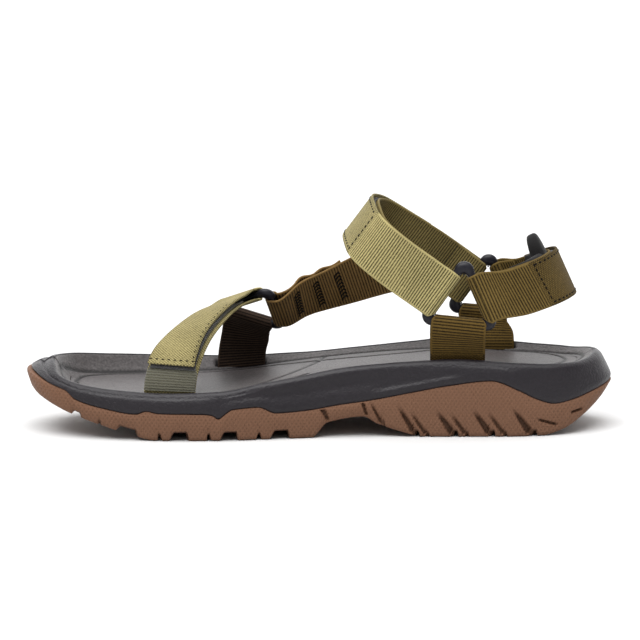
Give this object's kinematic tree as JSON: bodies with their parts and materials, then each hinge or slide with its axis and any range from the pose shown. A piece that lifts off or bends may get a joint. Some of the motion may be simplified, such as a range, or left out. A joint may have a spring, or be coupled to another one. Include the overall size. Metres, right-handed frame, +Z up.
{
  "type": "strappy sport sandal",
  "caption": "Right-foot sport sandal: treaded rubber and foam sole, webbing straps on triangular rings, peel-back instep, heel and toe flaps, padded heel.",
  "frame": {"origin": "middle of the footprint box, on the ground", "axes": "-X to the toe, +X to the heel, -Y medial (inner) side, +Y lateral (outer) side, +Z up"},
  "size_m": [0.292, 0.1034, 0.1151],
  "materials": {
    "rubber_tread": "matte",
    "midsole_foam": "matte",
    "footbed_foam": "matte",
    "shank_nylon": "matte",
    "ring_nylon": "satin",
    "webbing_brown_olive": "matte",
    "webbing_dark_olive": "matte",
    "webbing_light_olive": "matte",
    "loop_pile_green": "matte",
    "hook_tape_black": "matte",
    "loop_pile_black": "matte",
    "thread_black": "matte",
    "pad_lining_black": "matte"
  },
  "bodies": {
    "sandal": {"outsole": "rubber_tread", "midsole": "midsole_foam", "topsole": "footbed_foam", "shank": "shank_nylon", "medial_ring": "ring_nylon", "lateral_ring": "ring_nylon", "front_ring": "ring_nylon", "medial_anchor": "webbing_brown_olive", "lateral_anchor": "webbing_brown_olive", "lateral_front_anchor": "webbing_dark_olive", "toe_strap": "webbing_light_olive", "toe_loop_patch": "loop_pile_green", "instep_strap": "webbing_light_olive", "instep_loop_patch": "loop_pile_black", "heel_strap": "webbing_brown_olive", "heel_loop_patch": "loop_pile_black", "connecting_strap": "webbing_dark_olive", "bartack_1": "thread_black", "bartack_2": "thread_black", "bartack_3": "thread_black", "heel_pad": "pad_lining_black"},
    "toe_flap": {"toe_flap": "webbing_light_olive", "toe_hook_patch": "hook_tape_black"},
    "instep_flap_root": {"instep_flap_root": "webbing_light_olive"},
    "instep_flap_tip": {"instep_flap_tip": "webbing_light_olive", "instep_hook_patch": "hook_tape_black"},
    "heel_flap_root": {"heel_flap_root": "webbing_brown_olive"},
    "heel_flap_tip": {"heel_flap_tip": "webbing_brown_olive", "heel_hook_patch": "hook_tape_black"}
  },
  "joints": [
    {"name": "toe_flap_peel", "type": "hinge", "parent": "sandal", "child": "toe_flap", "pos_m": [-0.03902, 0.01904, 0.06001], "axis": [-0.7594, 0.5695, -0.3146], "range_deg": [0, 100]},
    {"name": "instep_root_lift", "type": "hinge", "parent": "sandal", "child": "instep_flap_root", "pos_m": [0.05993, -0.03657, 0.0717], "axis": [0.5878, 0.0931, 0.8036], "range_deg": [0, 36]},
    {"name": "instep_tip_peel", "type": "hinge", "parent": "instep_flap_root", "child": "instep_flap_tip", "pos_m": [0.01965, -0.02673, 0.10002], "axis": [0.6024, 0, 0.7982], "range_deg": [0, 120]},
    {"name": "heel_root_lift", "type": "hinge", "parent": "sandal", "child": "heel_flap_root", "pos_m": [0.07733, -0.03678, 0.06988], "axis": [0.4067, -0.1051, -0.9075], "range_deg": [0, 36]},
    {"name": "heel_tip_peel", "type": "hinge", "parent": "heel_flap_root", "child": "heel_flap_tip", "pos_m": [0.10659, -0.0318, 0.07351], "axis": [0.4909, 0.1116, -0.864], "range_deg": [0, 120]}
  ],
  "couplings": [
    {"joint": "instep_root_lift", "follows": "instep_tip_peel", "ratio": 0.3},
    {"joint": "heel_root_lift", "follows": "heel_tip_peel", "ratio": 0.3}
  ]
}
